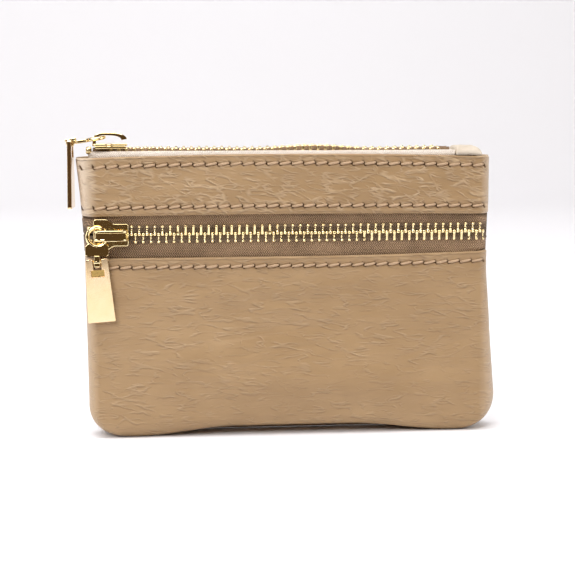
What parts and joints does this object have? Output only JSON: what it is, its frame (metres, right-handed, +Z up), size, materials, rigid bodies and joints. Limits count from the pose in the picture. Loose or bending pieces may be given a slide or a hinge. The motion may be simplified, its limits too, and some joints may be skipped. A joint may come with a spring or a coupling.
{
  "type": "zippered pouch",
  "caption": "Small soft leather pouch with a zipped mouth, a zipped front pocket, ringed zip pulls and a padded zip end tab.",
  "frame": {"origin": "on the flat base, in the middle of its length and under the front panel's fold", "axes": "+X right along the zips, -Y to the front, +Z up to the mouth"},
  "size_m": [0.1417, 0.0214, 0.1006],
  "materials": {
    "leather": "pebbled, half gloss",
    "pale_leather": "smooth",
    "lining": "satin weave",
    "zip_tape": "herringbone weave",
    "chain_metal": "polished",
    "polished_metal": "mirror polished",
    "thread": "twisted"
  },
  "bodies": {
    "pouch": {"front_top_band": "leather", "front_lower_panel": "leather", "back_panel": "leather", "zip_end_tab": "pale_leather", "pocket_lining": "lining", "main_lining": "lining", "pocket_divider": "lining", "top_tape_front": "zip_tape", "top_tape_back": "zip_tape", "front_tape_upper": "zip_tape", "front_tape_lower": "zip_tape", "top_zip_bottom_stop": "chain_metal", "front_zip_bottom_stop": "chain_metal", "mouth_stitching_front": "thread", "mouth_stitching_back": "thread", "band_edge_stitching": "thread", "pocket_edge_stitching": "thread"},
    "top_chain_half_front": {"top_chain_front": "chain_metal", "top_zip_top_stop_front": "chain_metal"},
    "top_chain_half_back": {"top_chain_back": "chain_metal", "top_zip_top_stop_back": "chain_metal"},
    "top_slider_body": {"top_slider": "polished_metal"},
    "top_connector_body": {"top_pull_connector": "polished_metal"},
    "top_tab_body": {"top_pull_tab": "polished_metal"},
    "front_chain_half_upper": {"front_chain_upper": "chain_metal", "front_zip_top_stop_upper": "chain_metal"},
    "front_chain_half_lower": {"front_chain_lower": "chain_metal", "front_zip_top_stop_lower": "chain_metal"},
    "front_slider_body": {"front_slider": "polished_metal"},
    "front_connector_body": {"front_pull_connector": "polished_metal"},
    "front_tab_body": {"front_pull_tab": "polished_metal"}
  },
  "joints": [
    {"name": "top_zip_slide", "type": "slide", "parent": "pouch", "child": "top_slider_body", "axis": [1, 0, 0], "range_m": [0, 0.106], "deforming": ["top_tape_front", "top_tape_back", "top_chain_front", "top_chain_back"]},
    {"name": "front_zip_slide", "type": "slide", "parent": "pouch", "child": "front_slider_body", "axis": [1, 0, 0], "range_m": [0, 0.1136], "deforming": ["front_tape_upper", "front_tape_lower", "front_chain_upper", "front_chain_lower"]},
    {"name": "top_chain_front_spread", "type": "hinge", "parent": "pouch", "child": "top_chain_half_front", "pos_m": [0.0545, 0, 0.094], "axis": [0, 0, 1], "range_deg": [0, 1.6]},
    {"name": "top_chain_back_spread", "type": "hinge", "parent": "pouch", "child": "top_chain_half_back", "pos_m": [0.0545, 0, 0.094], "axis": [0, 0, -1], "range_deg": [0, 1.6]},
    {"name": "front_chain_upper_spread", "type": "hinge", "parent": "pouch", "child": "front_chain_half_upper", "pos_m": [0.0618, -0.0055, 0.067], "axis": [0, 1, 0], "range_deg": [0, 1.3]},
    {"name": "front_chain_lower_spread", "type": "hinge", "parent": "pouch", "child": "front_chain_half_lower", "pos_m": [0.0618, -0.0055, 0.067], "axis": [0, -1, 0], "range_deg": [0, 1.3]},
    {"name": "top_pull_lift", "type": "hinge", "parent": "top_slider_body", "child": "top_connector_body", "pos_m": [-0.06034, 0, 0.09822], "axis": [0, 1, 0], "range_deg": [0, 135]},
    {"name": "top_tab_swing", "type": "hinge", "parent": "top_connector_body", "child": "top_tab_body", "pos_m": [-0.0713, 0, 0.09648], "axis": [0, 1, 0], "range_deg": [-2, 150]},
    {"name": "front_pull_swing", "type": "hinge", "parent": "front_slider_body", "child": "front_connector_body", "pos_m": [-0.06355, -0.00925, 0.067], "axis": [0, 1, 0], "range_deg": [-45, 90]},
    {"name": "front_tab_lift", "type": "hinge", "parent": "front_connector_body", "child": "front_tab_body", "pos_m": [-0.06375, -0.00925, 0.05855], "axis": [-1, 0, 0], "range_deg": [-1, 140]}
  ],
  "couplings": [
    {"joint": "top_chain_front_spread", "follows": "top_zip_slide", "rad_per_m": 0.247},
    {"joint": "top_chain_back_spread", "follows": "top_zip_slide", "rad_per_m": 0.247},
    {"joint": "front_chain_upper_spread", "follows": "front_zip_slide", "rad_per_m": 0.1844},
    {"joint": "front_chain_lower_spread", "follows": "front_zip_slide", "rad_per_m": 0.1844}
  ]
}
